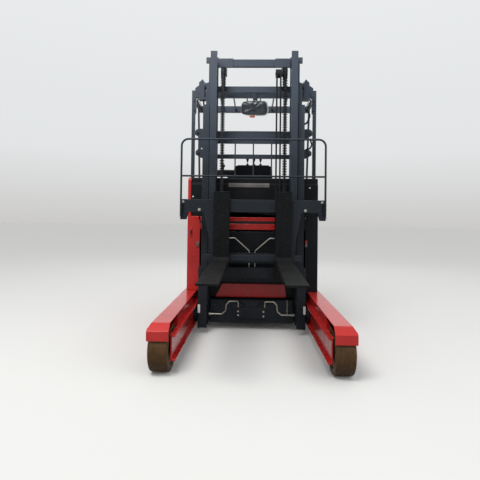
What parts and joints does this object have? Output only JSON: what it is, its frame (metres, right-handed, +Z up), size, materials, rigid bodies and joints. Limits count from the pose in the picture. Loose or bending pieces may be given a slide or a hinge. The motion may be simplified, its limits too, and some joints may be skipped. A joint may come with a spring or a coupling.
{
  "type": "reach truck",
  "caption": "Sit-on electric reach truck with straddle legs, a reaching three-stage mast, a tilting side-shift fork frame and an overhead guard",
  "frame": {"origin": "on the floor under the middle of the truck's box, fork tips to rear face", "axes": "+X to the truck's side seen at the right from the fork end, forks towards -Y, +Z up"},
  "size_m": [1.4, 2.5503, 2.624],
  "materials": {
    "red_enamel": "gloss enamel over sheet steel",
    "charcoal_paint": "semi-gloss charcoal paint",
    "fork_black": "thin black paint over forged steel",
    "black_cover": "fine textured black paint",
    "battery_steel": "coated battery case",
    "cast_housing": "painted casting",
    "bright_steel": "ground and plated steel",
    "zinc_pipe": "zinc plated tube",
    "chain_steel": "oiled chain steel",
    "polyurethane": "amber cast polyurethane",
    "black_tyre": "solid drive tyre",
    "hose_rubber": "braided hose cover",
    "black_knob": "moulded black plastic",
    "mirror_shell": "moulded shell in film",
    "seat_vinyl": "grained black vinyl"
  },
  "bodies": {
    "root": {"left_leg": "red_enamel", "right_leg": "red_enamel", "load_axles": "bright_steel", "chassis": "charcoal_paint", "battery_tray": "red_enamel", "battery": "battery_steel", "battery_hood": "red_enamel", "front_wall": "black_cover", "left_cover": "red_enamel", "right_cover": "black_cover", "rear_housing": "red_enamel", "seat_base": "charcoal_paint", "seat_cushion": "seat_vinyl", "seat_back": "seat_vinyl", "console": "black_cover", "controls": "black_knob", "pedals": "black_knob", "steering_pod": "black_cover", "overhead_guard": "charcoal_paint", "guard_mirror": "mirror_shell", "drive_motor": "charcoal_paint", "reach_barrel": "charcoal_paint"},
    "left_wheel": {"left_load_wheel": "polyurethane"},
    "right_wheel": {"right_load_wheel": "polyurethane"},
    "hand_wheel": {"steering_wheel": "black_knob"},
    "door": {"rear_door": "red_enamel"},
    "steer": {"drive_unit": "cast_housing"},
    "drive": {"drive_wheel": "black_tyre"},
    "reach": {"reach_carriage": "charcoal_paint", "reach_rod": "bright_steel", "outer_mast": "charcoal_paint", "lift_barrels": "charcoal_paint", "mast_pipes": "zinc_pipe"},
    "middle": {"middle_mast": "charcoal_paint", "lift_rods": "bright_steel"},
    "inner": {"inner_mast": "charcoal_paint", "lift_chains": "chain_steel", "hose_guide": "hose_rubber"},
    "carriage": {"lift_carriage": "charcoal_paint"},
    "rams": {"tilt_rams": "bright_steel"},
    "tilt": {"tilt_frame": "charcoal_paint"},
    "shift": {"fork_frame": "charcoal_paint", "load_backrest": "charcoal_paint"},
    "fork_l": {"left_fork": "fork_black"},
    "fork_r": {"right_fork": "fork_black"}
  },
  "joints": [
    {"name": "left_wheel_roll", "type": "hinge", "parent": "root", "child": "left_wheel", "pos_m": [-0.6235, -0.85, 0.165], "axis": [1, 0, 0], "continuous": true},
    {"name": "right_wheel_roll", "type": "hinge", "parent": "root", "child": "right_wheel", "pos_m": [0.6235, -0.85, 0.165], "axis": [1, 0, 0], "continuous": true},
    {"name": "drive_steer", "type": "hinge", "parent": "root", "child": "steer", "pos_m": [-0.24, 0.94, 0.4], "axis": [0, 0, 1], "range_deg": [-90, 90]},
    {"name": "drive_roll", "type": "hinge", "parent": "steer", "child": "drive", "pos_m": [-0.24, 0.94, 0.1715], "axis": [1, 0, 0], "continuous": true},
    {"name": "hand_wheel_turn", "type": "hinge", "parent": "root", "child": "hand_wheel", "pos_m": [0.2, 1.063, 1.18], "axis": [0, 0, 1], "range_deg": [-460, 460]},
    {"name": "rear_door_open", "type": "hinge", "parent": "root", "child": "door", "pos_m": [-0.575, 1.268, 0.6], "axis": [0, 0, 1], "range_deg": [0, 110]},
    {"name": "reach_out", "type": "slide", "parent": "root", "child": "reach", "axis": [0, -1, 0], "range_m": [0, 0.75]},
    {"name": "lift_middle", "type": "slide", "parent": "reach", "child": "middle", "axis": [0, 0, 1], "range_m": [-0.203, 1.247]},
    {"name": "lift_inner", "type": "slide", "parent": "middle", "child": "inner", "axis": [0, 0, 1], "range_m": [-0.204, 1.248]},
    {"name": "lift_forks", "type": "slide", "parent": "inner", "child": "carriage", "axis": [0, 0, 1], "range_m": [-0.204, 1.248]},
    {"name": "fork_tilt", "type": "hinge", "parent": "carriage", "child": "tilt", "pos_m": [0, -0.04, 1.18], "axis": [-1, 0, 0], "range_deg": [-2, 4]},
    {"name": "tilt_ram_slide", "type": "slide", "parent": "carriage", "child": "rams", "axis": [0, -1, 0], "range_m": [-0.02, 0.035]},
    {"name": "side_shift", "type": "slide", "parent": "tilt", "child": "shift", "axis": [1, 0, 0], "range_m": [-0.06, 0.06]},
    {"name": "left_fork_spread", "type": "slide", "parent": "shift", "child": "fork_l", "axis": [-1, 0, 0], "range_m": [-0.14, 0.085]},
    {"name": "right_fork_spread", "type": "slide", "parent": "shift", "child": "fork_r", "axis": [1, 0, 0], "range_m": [-0.14, 0.085]}
  ],
  "couplings": [
    {"joint": "hand_wheel_turn", "follows": "drive_steer", "ratio": 5},
    {"joint": "lift_inner", "follows": "lift_middle", "ratio": 1},
    {"joint": "lift_forks", "follows": "lift_middle", "ratio": 1},
    {"joint": "tilt_ram_slide", "follows": "fork_tilt", "m_per_rad": 0.445}
  ]
}
